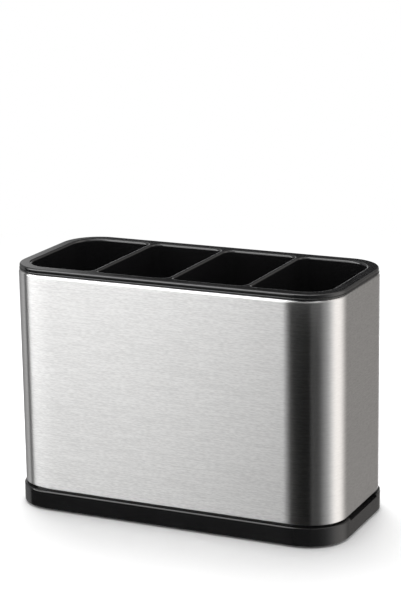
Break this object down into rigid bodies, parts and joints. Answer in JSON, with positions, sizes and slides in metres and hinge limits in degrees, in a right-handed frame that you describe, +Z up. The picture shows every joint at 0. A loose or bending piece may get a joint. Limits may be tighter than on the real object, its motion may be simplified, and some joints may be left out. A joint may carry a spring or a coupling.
{
  "type": "kitchen utensil holder",
  "caption": "Free-standing oblong cutlery holder: a brushed steel sleeve with round corners on a black drip tray, with a lift-out moulded caddy divided into compartments.",
  "frame": {"origin": "middle of the footprint, on the surface that the feet stand on", "axes": "+X along the long side, front face towards -Y, +Z up"},
  "size_m": [0.2024, 0.094, 0.1436],
  "materials": {
    "black_plastic": "polished black moulding",
    "sleeve_steel": "horizontal fine brush",
    "foot_rubber": "matte"
  },
  "bodies": {
    "tray": {"base_tray": "black_plastic", "foot_front_left": "foot_rubber", "foot_front_right": "foot_rubber", "foot_rear_left": "foot_rubber", "foot_rear_right": "foot_rubber"},
    "sleeve": {"steel_sleeve": "sleeve_steel", "top_ring": "black_plastic"},
    "caddy": {"cutlery_caddy": "black_plastic"}
  },
  "joints": [
    {"name": "sleeve_lift", "type": "slide", "parent": "tray", "child": "sleeve", "axis": [0, 0, 1], "range_m": [0, 0.03]},
    {"name": "caddy_lift", "type": "slide", "parent": "sleeve", "child": "caddy", "axis": [0, 0, 1], "range_m": [0, 0.135]}
  ]
}
